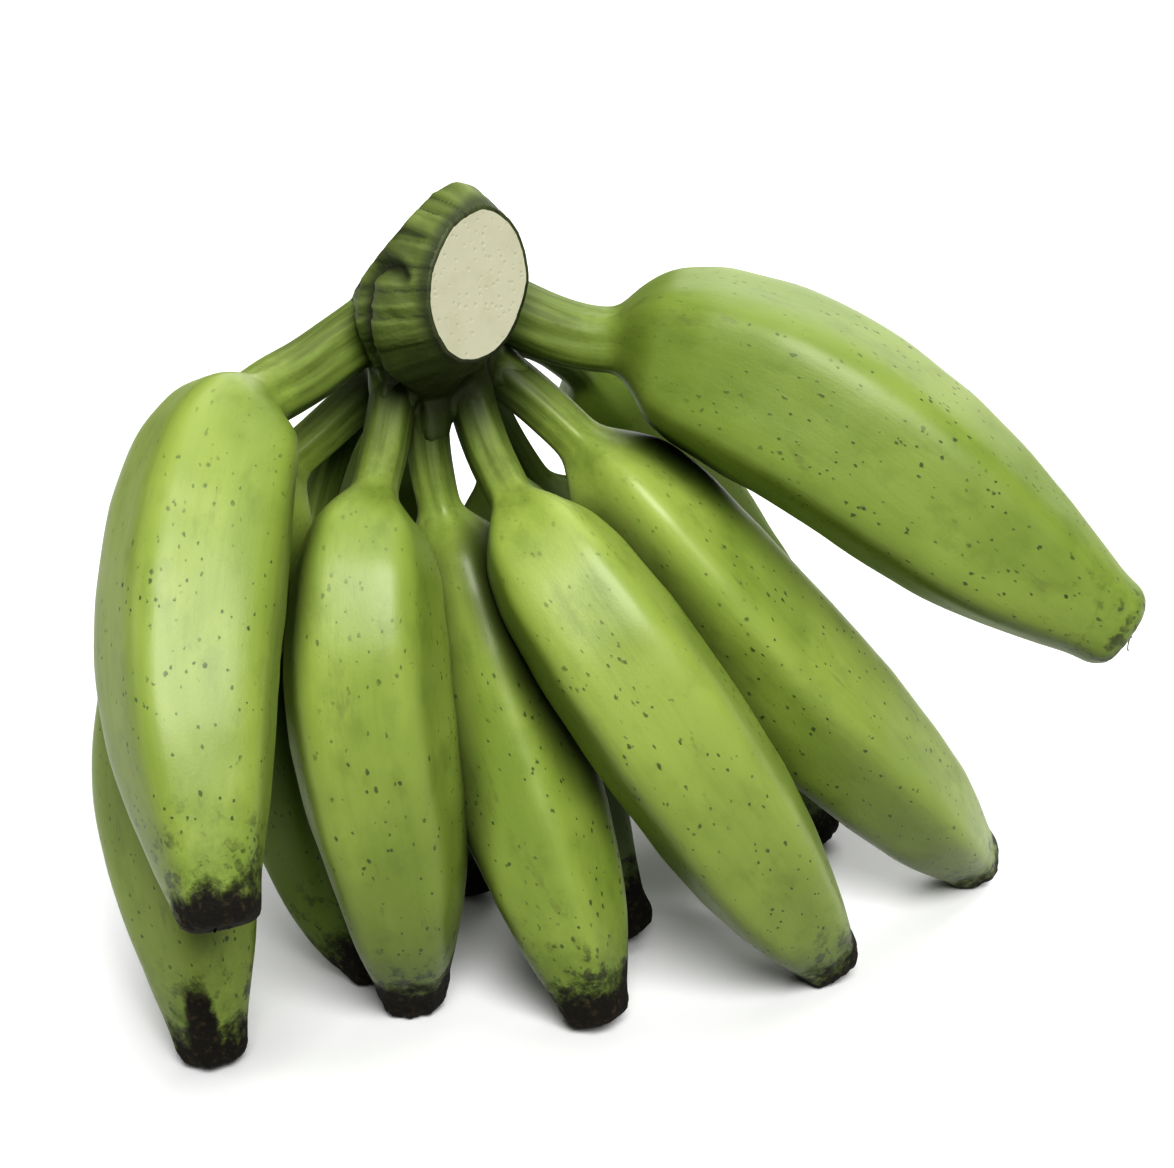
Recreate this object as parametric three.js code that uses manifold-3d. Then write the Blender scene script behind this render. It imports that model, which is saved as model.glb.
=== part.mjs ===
// A hand of green cooking bananas, cut from its stalk and standing on its own tips.
// Twelve fruit in two rows hang from one woody crown. The hand leans on the table with the
// crown on top, as a claw does, and one fruit at each end of the front row stays in the air.
//
// Units are millimetres, +Z is up, and the table is the plane z = 0.

import * as THREE from "three";
import Module from "manifold-3d";
import { mergeVertices } from "three/addons/utils/BufferGeometryUtils.js";

const wasm = await Module();
wasm.setup();

// ---------------------------------------------------------------- driving dimensions
const GAP = 0.3; // clearance between a stalk and the crown it grows out of
const STALK_FLARE = 1.2; // how much wider the stalk is where it leaves the crown
const SHOULDER_LEAD = 11; // the fruit starts this far before its shoulder point
const RIDGES = 5; // a green cooking banana is five-sided
const SIDES = 3 * RIDGES; // three flats to a side, so that every ridge falls on a vertex
const RIDGE_SHARPNESS = 0.5; // 0 is round, 1 is a plain pentagon
const CROWN_SIDES = 20;
const CURVE_STEPS = 40; // how finely each span between two points of a path is measured
const TABLE = { width: 600, thickness: 40 }; // what presses the resting tips flat

// ---------------------------------------------------------------- the fruit
// The outline of one fruit: [share of the fruit's length, share of its half girth].
const OUTLINE = [
  [0.0, 0.27], [0.035, 0.46], [0.09, 0.71], [0.17, 0.88], [0.28, 0.97], [0.42, 1.0], [0.56, 0.96],
  [0.68, 0.87], [0.79, 0.74], [0.88, 0.59], [0.94, 0.48], [0.98, 0.44], [1.0, 0.32],
];
// Where along the bare stalk its rings stand, as shares of the stalk's length.
const STALK_RINGS = [0, 0.3, 0.6, 0.85];

const WIDEST = 0.42; // where along the fruit its full girth is
// Each banana is placed by six points: root, stalk, shoulder, belly, neck and tip. A plump one,
// over 1, keeps its girth nearer to the tip. roll turns its ridges about its own axis, in degrees.
const BANANAS = [
  {
    name: "banana_front_1", girth: 45, plump: 1, stalk: 15.5, roll: -22,
    path: [[-42, 24, 171], [-64, 0, 161], [-82, -24, 153], [-89, -61, 115], [-84, -88, 79], [-80, -98, 63]],
  },
  {
    name: "banana_front_2", girth: 41, plump: 1, stalk: 11, roll: 36,
    path: [[-45, 14, 162], [-48, -3, 143], [-52, -21, 125], [-52, -36, 90], [-46, -33, 42], [-43, -21, 1.5]],
  },
  {
    name: "banana_front_3", girth: 38.5, plump: 1.25, stalk: 8, roll: 20,
    path: [[-38, 16, 162], [-38.5, 7, 138], [-33, 1, 112], [-22, -11, 74], [-5, -27, 28], [3, -32, 2]],
  },
  {
    name: "banana_front_4", girth: 41, plump: 1.25, stalk: 11, roll: 36,
    path: [[-32, 20, 162], [-24.5, 6, 139], [-12, -13, 122], [17.5, -27, 81], [49, -16, 27], [62, -5, 3]],
  },
  {
    name: "banana_front_5", girth: 41, plump: 1, stalk: 12, roll: 10,
    path: [[-29, 27, 157], [-10, 20, 143], [6, 14, 128], [39, 9, 89], [85, 26, 33], [105, 48, 4]],
  },
  {
    name: "banana_front_6", girth: 52, plump: 1, stalk: 16, roll: 25,
    path: [[-28, 26, 171], [-3, 21, 161.5], [18, 18, 160], [54, 10, 147], [101, -2, 115], [131, -8, 95]],
  },
  {
    name: "banana_back_1", girth: 40, plump: 1, stalk: 10, roll: 0,
    path: [[-46, 28, 152], [-63, 16, 140], [-79, 3, 126], [-98, -27, 74], [-93, -45, 28], [-90, -49, 1]],
  },
  {
    name: "banana_back_2", girth: 37, plump: 1, stalk: 8, roll: 0,
    path: [[-46, 35, 152], [-62, 34, 132], [-71, 22, 100], [-72, 8, 62], [-61, -5, 17], [-51, -10, 3]],
  },
  {
    name: "banana_back_3", girth: 36, plump: 1, stalk: 8, roll: 0,
    path: [[-40, 45, 151], [-49, 52, 134], [-54, 56, 113], [-48, 53, 64], [-34, 42, 21], [-30, 36, 1.5]],
  },
  {
    name: "banana_back_4", girth: 35, plump: 1, stalk: 8, roll: 0,
    path: [[-36, 33, 152], [-26, 36, 131], [-20, 33, 110], [-11, 24, 60], [3, 16, 18], [12, 13, 2]],
  },
  {
    name: "banana_back_5", girth: 36, plump: 1, stalk: 8, roll: 0,
    path: [[-30, 44, 152], [-22, 52, 126], [-7, 55, 102], [26, 58, 63], [57, 66, 17], [64, 69, 2.5]],
  },
  {
    name: "banana_back_6", girth: 37, plump: 1, stalk: 10, roll: 0,
    path: [[-21, 36, 158], [-9, 60, 146], [4, 80, 127], [30, 101, 78], [63, 113, 26], [73, 117, 2]],
  },
];

// ---------------------------------------------------------------- the crown
// The crown's middle line runs from the pale cut face back and down to where the fruit hang.
const CROWN_PATH = [[-25, -12, 184], [-33, -3, 182], [-37, 10, 174], [-37, 25, 160], [-37, 37, 146]];
// [share of the crown's length, half depth, half width]
const CROWN_RINGS = [
  [0, 18, 14.5], [0.05, 19.5, 16], [0.14, 21.5, 18.5], [0.26, 23, 20], [0.4, 22, 18.5],
  [0.55, 21, 17.5], [0.7, 20, 17.5], [0.84, 18.5, 16.5], [0.94, 15, 13.5], [1, 8, 7],
];

// ---------------------------------------------------------------- shapes
const FACING = new THREE.Vector3(0, -1, 0.4).normalize(); // ridges are turned from this way
const CROWN_TOP = new THREE.Vector3(0.32, 0.3, 0.9).normalize(); // the cut face's long way

// How far out a rounded pentagon reaches at an angle, as a share of its ridge.
function ridged(angle) {
  const side = (2 * Math.PI) / RIDGES;
  const fromFlat = ((((angle % side) + side) % side) - side / 2);
  const pentagon = Math.cos(side / 2) / Math.cos(fromFlat);
  return 1 + RIDGE_SHARPNESS * (pentagon - 1);
}

// A straight lathed shape, bent so that its axis follows the curve. section() gives each
// point's place across the curve, [towards front, sideways], from its angle and distance out.
function bend(profile, sides, curve, facing, section) {
  const geometry = new THREE.LatheGeometry(profile, sides);
  const length = curve.getLength();
  const place = geometry.getAttribute("position");
  const vertex = new THREE.Vector3();
  for (let i = 0; i < place.count; i++) {
    vertex.fromBufferAttribute(place, i);
    const along = THREE.MathUtils.clamp(vertex.y / length, 0, 1);
    const ahead = curve.getTangentAt(along);
    const front = facing.clone().addScaledVector(ahead, -facing.dot(ahead)).normalize();
    const aside = front.clone().cross(ahead);
    const angle = Math.atan2(vertex.z, vertex.x);
    const [forward, sideways] = section(angle, Math.hypot(vertex.x, vertex.z), along);
    const moved = curve.getPointAt(along);
    moved.addScaledVector(front, forward).addScaledVector(aside, sideways);
    place.setXYZ(i, moved.x, moved.y, moved.z);
  }
  return geometry;
}

function curveThrough(points) {
  const curve = new THREE.CatmullRomCurve3(points.map((p) => new THREE.Vector3(...p)));
  curve.arcLengthDivisions = CURVE_STEPS * (points.length - 1);
  return curve;
}

// The same place on the outline, moved towards the tip if it is past the widest part.
function plumper(share, plump) {
  const past = Math.max(0, share - WIDEST) / (1 - WIDEST);
  return Math.min(share, WIDEST) + past ** (1 / plump) * (1 - WIDEST);
}

function bananaGeometry({ girth, plump, stalk, roll, path }) {
  const curve = curveThrough(path);
  const length = curve.getLength();
  const toShoulder = curve.getLengths()[2 * CURVE_STEPS];
  const fruitStart = toShoulder - SHOULDER_LEAD;
  const fruitLength = length - fruitStart;

  const profile = STALK_RINGS.map((share) => {
    const flare = 1 + (STALK_FLARE - 1) * Math.max(0, 1 - share / 0.6);
    return new THREE.Vector2((stalk / 2) * flare, share * fruitStart);
  });
  profile.unshift(new THREE.Vector2(0, 0));
  for (const [share, out] of OUTLINE) {
    const reach = Math.max(girth * out, stalk) / 2;
    profile.push(new THREE.Vector2(reach, fruitStart + plumper(share, plump) * fruitLength));
  }
  profile.push(new THREE.Vector2(0, length));

  const turn = THREE.MathUtils.degToRad(roll);
  return bend(profile, SIDES, curve, FACING, (angle, out) => {
    const reach = out * ridged(angle);
    return [reach * Math.cos(angle + turn), reach * Math.sin(angle + turn)];
  });
}

// The crown's width over its depth, a share of the way along it.
function crownFlattening(along) {
  const next = CROWN_RINGS.findIndex(([share]) => share >= along);
  const [toShare, toDepth, toWidth] = CROWN_RINGS[next];
  const [fromShare, fromDepth, fromWidth] = CROWN_RINGS[Math.max(0, next - 1)];
  const step = next > 0 ? (along - fromShare) / (toShare - fromShare) : 1;
  return THREE.MathUtils.lerp(fromWidth / fromDepth, toWidth / toDepth, step);
}

function crownGeometry() {
  const curve = curveThrough(CROWN_PATH);
  const length = curve.getLength();
  const profile = CROWN_RINGS.map(([share, half]) => new THREE.Vector2(half, share * length));
  profile.unshift(new THREE.Vector2(0, 0));
  profile.push(new THREE.Vector2(0, length));
  return bend(profile, CROWN_SIDES, curve, CROWN_TOP, (angle, out, along) => [
    out * Math.cos(angle),
    out * crownFlattening(along) * Math.sin(angle),
  ]);
}

// ---------------------------------------------------------------- solids
function toSolid(geometry) {
  const bare = new THREE.BufferGeometry();
  bare.setAttribute("position", geometry.getAttribute("position"));
  bare.setIndex(geometry.getIndex());
  const closed = mergeVertices(bare, 1e-4);
  const vertProperties = Float32Array.from(closed.getAttribute("position").array);
  const triVerts = Uint32Array.from(closed.getIndex().array);
  return new wasm.Manifold(new wasm.Mesh({ numProp: 3, vertProperties, triVerts }));
}

function toGeometry(solid) {
  const { vertProperties, triVerts } = solid.getMesh();
  const geometry = new THREE.BufferGeometry();
  geometry.setAttribute("position", new THREE.BufferAttribute(vertProperties, 3));
  geometry.setIndex(new THREE.BufferAttribute(triVerts, 1));
  return geometry;
}

// The same shape, larger all round by about the gap.
function grown(geometry, gap) {
  const larger = geometry.clone();
  larger.computeBoundingBox();
  const middle = larger.boundingBox.getCenter(new THREE.Vector3());
  const size = larger.boundingBox.getSize(new THREE.Vector3());
  larger.translate(-middle.x, -middle.y, -middle.z);
  larger.scale(1 + (2 * gap) / size.x, 1 + (2 * gap) / size.y, 1 + (2 * gap) / size.z);
  larger.translate(middle.x, middle.y, middle.z);
  return larger;
}

const crown = crownGeometry();
const crownRoom = toSolid(grown(crown, GAP));
const tableTop = new THREE.BoxGeometry(TABLE.width, TABLE.width, TABLE.thickness);
const table = toSolid(tableTop.translate(0, 0, -TABLE.thickness / 2));

// ---------------------------------------------------------------- the hand
const hand = new THREE.Group();

function addPart(name, geometry, color, roughness) {
  const mesh = new THREE.Mesh(
    geometry,
    new THREE.MeshStandardMaterial({ color, roughness, metalness: 0 }),
  );
  mesh.name = name;
  hand.add(mesh);
}

addPart("crown", crown, 0x5f6f32, 0.7);
for (const banana of BANANAS) {
  const grownFruit = toSolid(bananaGeometry(banana));
  addPart(banana.name, toGeometry(grownFruit.subtract(crownRoom).subtract(table)), 0x8ea94d, 0.5);
}

// The origin is the middle of the hand's box, on the table.
const box = new THREE.Box3().setFromObject(hand);
hand.position.set(-(box.min.x + box.max.x) / 2, -(box.min.y + box.max.y) / 2, 0);

export default hand;
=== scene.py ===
# %% [markdown]
# # A hand of green cooking bananas
# Twelve short, five-sided bananas hang from one fleshy crown. The hand has been cut from its
# stem and stands on its own tips, with the pale cut of the crown towards us.
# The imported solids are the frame: they fix where every fruit is and how thick it is. This
# script gives each one its grown shape and its skin, and leaves the solids as they are.

# %% Load the frame
import math

import bmesh
import bpy
import numpy as np
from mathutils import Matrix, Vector, noise


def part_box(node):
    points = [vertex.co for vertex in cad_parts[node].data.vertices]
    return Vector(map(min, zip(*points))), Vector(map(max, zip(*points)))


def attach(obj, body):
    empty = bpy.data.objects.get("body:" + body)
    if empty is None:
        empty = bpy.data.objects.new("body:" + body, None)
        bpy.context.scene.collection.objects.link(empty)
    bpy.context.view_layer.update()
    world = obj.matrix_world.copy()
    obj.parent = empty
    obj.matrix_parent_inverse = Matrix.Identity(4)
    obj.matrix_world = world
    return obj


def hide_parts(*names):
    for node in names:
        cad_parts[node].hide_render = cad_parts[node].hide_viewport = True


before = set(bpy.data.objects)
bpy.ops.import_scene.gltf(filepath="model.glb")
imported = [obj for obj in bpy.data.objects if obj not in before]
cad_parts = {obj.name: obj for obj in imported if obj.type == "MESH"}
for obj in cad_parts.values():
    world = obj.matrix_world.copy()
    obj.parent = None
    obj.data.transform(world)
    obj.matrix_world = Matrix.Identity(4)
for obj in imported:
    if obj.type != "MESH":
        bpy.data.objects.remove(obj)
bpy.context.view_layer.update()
MM = 0.001
print("solids:", ", ".join(sorted(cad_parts)))

# %% [markdown]
# ## The camera
# The hand stands on a table, and we look at it as a person would who bends down a little: along
# +Y and down by 22 degrees. A long lens from three quarters of a metre keeps the fruit nearest
# to it only a little larger than those behind. A short lens close by would show the same width,
# but would swell the middle of the hand.

# %% Camera
VIEW_CENTRE = Vector((-9.5, -9.9, 105)) * MM
VIEW_DISTANCE = 750 * MM
VIEW_HEIGHT = math.radians(22)
LENS = 94.3


def add(name, data):
    """A new object with this data, in the scene."""
    made = bpy.data.objects.new(name, data)
    bpy.context.scene.collection.objects.link(made)
    return made


def add_camera():
    data = bpy.data.cameras.new("camera")
    data.sensor_width = 36
    data.lens = LENS
    camera = add("camera", data)
    back = Vector((0, -math.cos(VIEW_HEIGHT), math.sin(VIEW_HEIGHT)))
    camera.location = VIEW_CENTRE + back * VIEW_DISTANCE
    camera.rotation_euler = (-back).to_track_quat("-Z", "Y").to_euler()
    bpy.context.scene.camera = camera


add_camera()
print("camera at", [round(c / MM) for c in bpy.context.scene.camera.location], "mm")

# %% [markdown]
# ## The line that each fruit follows
# A banana is a straight lathed shape that has been bent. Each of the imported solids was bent
# along a smooth curve through six points: root, stalk, shoulder, belly, neck and tip. The
# packed triangles don't hold those points, so they are repeated here from the part, in
# millimetres, with the girth and the turn of the ridges. The boxes printed further down show
# that the grown fruit fill the same space as the solids.

# %% The fruit
FRUIT = {
    "front_1": dict(
        girth=45, plump=1, stalk=15.5, roll=-22,
        path=[
            [-42, 24, 171], [-64, 0, 161], [-82, -24, 153], [-89, -61, 115], [-84, -88, 79], [-80, -98, 63],
        ],
    ),
    "front_2": dict(
        girth=41, plump=1, stalk=11, roll=36,
        path=[
            [-45, 14, 162], [-48, -3, 143], [-52, -21, 125], [-52, -36, 90], [-46, -33, 42], [-43, -21, 1.5],
        ],
    ),
    "front_3": dict(
        girth=38.5, plump=1.25, stalk=8, roll=20,
        path=[[-38, 16, 162], [-38.5, 7, 138], [-33, 1, 112], [-22, -11, 74], [-5, -27, 28], [3, -32, 2]],
    ),
    "front_4": dict(
        girth=41, plump=1.25, stalk=11, roll=36,
        path=[[-32, 20, 162], [-24.5, 6, 139], [-12, -13, 122], [17.5, -27, 81], [49, -16, 27], [62, -5, 3]],
    ),
    "front_5": dict(
        girth=41, plump=1, stalk=12, roll=10,
        path=[[-29, 27, 157], [-10, 20, 143], [6, 14, 128], [39, 9, 89], [85, 26, 33], [105, 48, 4]],
    ),
    "front_6": dict(
        girth=52, plump=1, stalk=16, roll=25,
        path=[[-28, 26, 171], [-3, 21, 161.5], [18, 18, 160], [54, 10, 147], [101, -2, 115], [131, -8, 95]],
    ),
    "back_1": dict(
        girth=40, plump=1, stalk=10, roll=0,
        path=[[-46, 28, 152], [-63, 16, 140], [-79, 3, 126], [-98, -27, 74], [-93, -45, 28], [-90, -49, 1]],
    ),
    "back_2": dict(
        girth=37, plump=1, stalk=8, roll=0,
        path=[[-46, 35, 152], [-62, 34, 132], [-71, 22, 100], [-72, 8, 62], [-61, -5, 17], [-51, -10, 3]],
    ),
    "back_3": dict(
        girth=36, plump=1, stalk=8, roll=0,
        path=[[-40, 45, 151], [-49, 52, 134], [-54, 56, 113], [-48, 53, 64], [-34, 42, 21], [-30, 36, 1.5]],
    ),
    "back_4": dict(
        girth=35, plump=1, stalk=8, roll=0,
        path=[[-36, 33, 152], [-26, 36, 131], [-20, 33, 110], [-11, 24, 60], [3, 16, 18], [12, 13, 2]],
    ),
    "back_5": dict(
        girth=36, plump=1, stalk=8, roll=0,
        path=[[-30, 44, 152], [-22, 52, 126], [-7, 55, 102], [26, 58, 63], [57, 66, 17], [64, 69, 2.5]],
    ),
    "back_6": dict(
        girth=37, plump=1, stalk=10, roll=0,
        path=[[-21, 36, 158], [-9, 60, 146], [4, 80, 127], [30, 101, 78], [63, 113, 26], [73, 117, 2]],
    ),
}
# From the millimetres of the part to its place in the frame.
TO_FRAME = np.array([-9.566, -9.837, 0])
print(len(FRUIT), "fruit, in millimetres before", TO_FRAME, "is added")

# %% [markdown]
# The curve is a centripetal Catmull-Rom spline. A Bezier curve would need two handles for every
# point. This one passes through the points by itself, and doesn't loop or swing out where two
# of them are close together, as they are at the shoulders.

# %% A smooth curve through the points
SAMPLES = 60  # points on each span


def unit(vector):
    return vector / np.linalg.norm(vector)


def span(before, start, end, after):
    """Points from start towards end, on the spline through all four."""
    gaps = [np.sqrt(np.linalg.norm(b - a)) for a, b in ((before, start), (start, end), (end, after))]
    first = (start - before) / gaps[0] - (end - before) / (gaps[0] + gaps[1]) + (end - start) / gaps[1]
    last = (end - start) / gaps[1] - (after - start) / (gaps[1] + gaps[2]) + (after - end) / gaps[2]
    first, last = first * gaps[1], last * gaps[1]
    t = np.linspace(0, 1, SAMPLES, endpoint=False)[:, None]
    square = -3 * start + 3 * end - 2 * first - last
    cube = 2 * start - 2 * end + first + last
    return start + first * t + square * t**2 + cube * t**3


def curve_through(points):
    points = [2 * points[0] - points[1], *points, 2 * points[-1] - points[-2]]
    spans = [span(*points[i : i + 4]) for i in range(len(points) - 3)]
    return np.vstack([*spans, points[-2]])


def measured(points):
    """How far along the line each point is."""
    return np.append(0, np.cumsum(np.linalg.norm(np.diff(points, axis=0), axis=1)))


# %% [markdown]
# The thickness along the way is the solid's as well: a bare stalk, a quick swell at the
# shoulder, the belly, and a neck that narrows to the blunt tip. The corners of that outline
# are evened out, so that the gloss of the skin runs over it without a break.

# %% The line of each fruit
SHOULDER_LEAD = 11 * MM
WIDEST = 0.42
LINE_STEPS = 400
LINE_PASSES = 60
REACH_PASSES = 36
# [share of the way from shoulder to tip, share of the greatest reach]
OUTLINE = np.array([
    [0.0, 0.27], [0.03, 0.5], [0.07, 0.74], [0.14, 0.89], [0.26, 0.98], [0.42, 1.0], [0.56, 0.96],
    [0.68, 0.87], [0.79, 0.74], [0.88, 0.59], [0.94, 0.48], [0.98, 0.45], [1.0, 0.42],
])


def evened(values, passes):
    """Each value moved towards its neighbours, with the two ends held."""
    values = values.copy()
    for _ in range(passes):
        values[1:-1] = 0.25 * values[:-2] + 0.5 * values[1:-1] + 0.25 * values[2:]
    return values


def at(line, key, distance):
    """The line's value at a distance along it, or at many."""
    values = line[key]
    if values.ndim == 1:
        return np.interp(distance, line["far"], values)
    return np.stack([np.interp(distance, line["far"], v) for v in values.T], axis=-1)


def leaves_crown(node, middle, far):
    """How far along its line the solid starts, which is where it comes out of the crown."""
    corners = np.array([v.co[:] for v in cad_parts[node].data.vertices])
    nearest = [far[np.argmin(np.linalg.norm(middle - corner, axis=1))] for corner in corners]
    return np.percentile(nearest, 1)


def line_of(name, girth, plump, stalk, roll, path):
    """The fruit's middle line, with its reach and its direction at every step."""
    middle = curve_through([(np.array(p) + TO_FRAME) * MM for p in path])
    far = measured(middle)
    even = np.linspace(0, far[-1], LINE_STEPS)
    middle = evened(np.stack([np.interp(even, far, v) for v in middle.T], axis=-1), LINE_PASSES)
    line = {"middle": middle, "far": measured(middle), "turn": math.radians(roll)}
    line["length"] = line["far"][-1]
    line["shoulder"] = far[2 * SAMPLES] - SHOULDER_LEAD
    share = (line["far"] - line["shoulder"]) / (line["length"] - line["shoulder"])
    past = np.clip((share - WIDEST) / (1 - WIDEST), 0, 1)
    share = np.where(share > WIDEST, WIDEST + past**plump * (1 - WIDEST), share)
    body = np.interp(share, *OUTLINE.T) * girth / 2
    line["reach"] = evened(np.maximum(body, stalk / 2), REACH_PASSES) * MM
    line["ahead"] = np.gradient(middle, axis=0)
    line["ahead"] /= np.linalg.norm(line["ahead"], axis=1)[:, None]
    line["edge"] = leaves_crown("banana_" + name, middle, line["far"])
    return line


LINES = {name: line_of(name, **facts) for name, facts in FRUIT.items()}
for name, line in LINES.items():
    lengths = [round(line[key] / MM) for key in ("length", "shoulder", "edge")]
    print(f"{name}: length, shoulder and crown's edge at {lengths} mm")

# %% [markdown]
# ## The shape of one fruit
# In section a cooking banana is a rounded pentagon. It could be an outline drawn by hand, but
# then every fruit would be the same. We take five flat sides, each a little different in its
# place and its distance from the middle, and round the ridges between them. A soft maximum of
# the five flats does this in one line, and its power sets how tight the ridges are. Towards the
# stalk the section turns round. The solids' girth is measured over the ridges, so the body's
# mean reach is a little less.

# %% Five-sided section
RIDGE_TIGHTNESS = 8
PENTAGON_MEAN = 1.04
OVER_RIDGES = 0.94


def five_sided(angle, sides, distances):
    """How far out the section stands at an angle, about 1."""
    total = np.zeros_like(angle)
    for side, distance in zip(sides, distances):
        total += (np.maximum(0, np.cos(angle - side)) / distance) ** RIDGE_TIGHTNESS
    return total ** (-1 / RIDGE_TIGHTNESS) / PENTAGON_MEAN


def smooth_step(low, high, value):
    """0 below low, 1 above high, and smooth between them."""
    share = np.clip((value - low) / (high - low), 0, 1)
    return share * share * (3 - 2 * share)


# %% [markdown]
# Each fruit starts straight: its outline is drawn as a row of points and spun round into a
# closed shape. A screw modifier could spin it too, but we want the finished points at once. The
# outline ends in the blunt, dished scar that the dried flower leaves.
# The straight shape is kept on the points as an attribute, because a pattern laid on the
# straight fruit follows its length once the fruit is bent.

# %% Spinning the straight fruit
SIDES = 60
RINGS = 140
INTO_CROWN = 9 * MM
BEFORE_SCAR = 5 * MM
# [share of the tip's reach, how far past the tip in mm]
SCAR = [
    (0.98, -3.9), (0.93, -2.6), (0.86, -1.5), (0.75, -0.6),
    (0.6, -0.1), (0.45, 0), (0.24, -0.5), (0.0, -0.7),
]


def spin_outline(name, outline, sides):
    """A closed mesh, from an outline of [out, how far along] spun round the Z axis."""
    shape = bmesh.new()
    row = [shape.verts.new((out, 0, far)) for out, far in outline]
    edges = [shape.edges.new(pair) for pair in zip(row, row[1:])]
    bmesh.ops.spin(
        shape, geom=row + edges, cent=(0, 0, 0), axis=(0, 0, 1), dvec=(0, 0, 0),
        angle=2 * math.pi, steps=sides, use_merge=True, use_duplicate=False,
    )
    bmesh.ops.remove_doubles(shape, verts=shape.verts, dist=1e-6)
    bmesh.ops.recalc_face_normals(shape, faces=shape.faces)
    mesh = bpy.data.meshes.new(name)
    shape.to_mesh(mesh)
    shape.free()
    mesh.shade_smooth()
    return mesh


def outline_of(line):
    """[reach, how far along] from the root to the scar at the tip."""
    length = line["length"]
    far = np.linspace(max(0, line["edge"] - INTO_CROWN), length - BEFORE_SCAR, RINGS)
    reach = at(line, "reach", far)
    points = [(0, far[0]), *zip(reach, far)]
    return points + [(share * reach[-1], length + back * MM) for share, back in SCAR]


# %% [markdown]
# The straight fruit is then laid along its line, as the real one bends up towards the light
# while it grows. Every ring of points goes to its place on the line, and is turned so that angle
# 0 faces the front of the hand. A curve modifier could do this too, but it twists where a line
# turns, and the ridges would wander round the fruit.

# %% Bending it along its line
FACING = unit(np.array([0, -1, 0.4]))


def places_of(mesh):
    flat = np.zeros(len(mesh.vertices) * 3)
    mesh.vertices.foreach_get("co", flat)
    return flat.reshape(-1, 3)


def put_places(mesh, places):
    mesh.vertices.foreach_set("co", places.ravel())
    mesh.update()


def keep(mesh, name, vectors):
    """Stores a vector on every point, for the materials to read."""
    attribute = mesh.attributes.new(name, "FLOAT_VECTOR", "POINT")
    attribute.data.foreach_set("vector", np.ascontiguousarray(vectors, dtype=np.float32).ravel())


def round_axis(points):
    """(angle, distance out) of points round the straight axis."""
    return np.arctan2(points[:, 1], points[:, 0]), np.hypot(points[:, 0], points[:, 1])


def bent(line, far, angle, out):
    """Points at a distance along the line, an angle round it and a distance out from it."""
    ahead = at(line, "ahead", far)
    ahead /= np.linalg.norm(ahead, axis=1)[:, None]
    front = FACING - ahead * (ahead @ FACING)[:, None]
    front /= np.linalg.norm(front, axis=1)[:, None]
    aside = np.cross(front, ahead)
    beyond = far - np.clip(far, 0, line["length"])
    middle = at(line, "middle", far) + ahead * beyond[:, None]
    return middle + front * (out * np.cos(angle))[:, None] + aside * (out * np.sin(angle))[:, None]


def lumps(points, size, seed):
    """Smooth bumps between -1 and 1, a given size across."""
    shift = Vector((seed * 7.3, seed * 3.1, seed * 5.7))
    return np.array([noise.noise(Vector(p) / size + shift) for p in points])


# %% [markdown]
# The patterns of the skin have to know where they are: how far past the shoulder, how near to
# the dried tip, to a ridge, to the crown. This could be painted by hand on an unwrapped skin.
# Here each point stores it as three vectors, because the fruit was straight once, and there all
# these distances are simple sums.

# %% What the skin reads
def keep_skin(mesh, straight, past_shoulder, to_dried, near_ridge, past_crown, tone_and_shade, dark):
    """What the skin's patterns read, stored as three vectors."""
    keep(mesh, "straight", straight)
    keep(mesh, "zones", np.stack([past_shoulder, to_dried, near_ridge], axis=1))
    keep(mesh, "shades", np.stack([past_crown, tone_and_shade, dark], axis=1))


# %% [markdown]
# Where fruit press against each other, and under the crown, little light reaches the skin, and
# it is painted darker there: painted shade. The distance to a neighbour's line, less that
# neighbour's reach, says how close the two skins are. It is worked out once for each point, so
# that the material only has to read it.

# %% Where a fruit gets painted shade
COARSELY = slice(None, None, 8)  # every eighth point of a line is close enough


def room_off(line, places):
    """How far outside a fruit's skin each point is."""
    away = np.linalg.norm(places[:, None] - line["middle"][COARSELY][None], axis=2)
    return np.maximum(0, (away - line["reach"][COARSELY]).min(axis=1))


def room_beside(name, places):
    """How far each point is from the skin of the nearest other fruit."""
    others = [line for other, line in LINES.items() if other != name]
    return np.min([room_off(line, places) for line in others], axis=0)


# %% [markdown]
# A grown fruit isn't as regular as a lathed one. Its flats dip and swell, the neck has five
# short flutes, the stalk has fine grooves, and the dried tip is knobbly. Sculpting would do it,
# one fruit at a time. Here they are all small changes to how far out each point stands, made
# while the fruit is still straight, so that one function grows all twelve.

# %% Growing one fruit
RIDGES = 5
SHOULDER_BEFORE, SHOULDER_AFTER = 12 * MM, 14 * MM
RIDGE_FADE = 45 * MM
ROOT_SHARE = 0.5
FLUTE_DEPTH = 0.035
GROOVES, GROOVE_DEPTH, GROOVE_WANDER = 11, 0.02, 3
ROUND = 20 * MM  # patterns that don't depend on the girth are laid on a cylinder of this radius
ABOVE_FLOOR = 0.2 * MM
# [share of the reach, size across, shift of the seed]
SWELL = [(0.022, 26 * MM, 0), (0.007, 9 * MM, 2)]
KNOBS = [(0.1, 5 * MM, 3), (0.05, 2.2 * MM, 4)]


def layered(points, layers, seed):
    return sum(depth * lumps(points, size, seed + shift) for depth, size, shift in layers)


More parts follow.
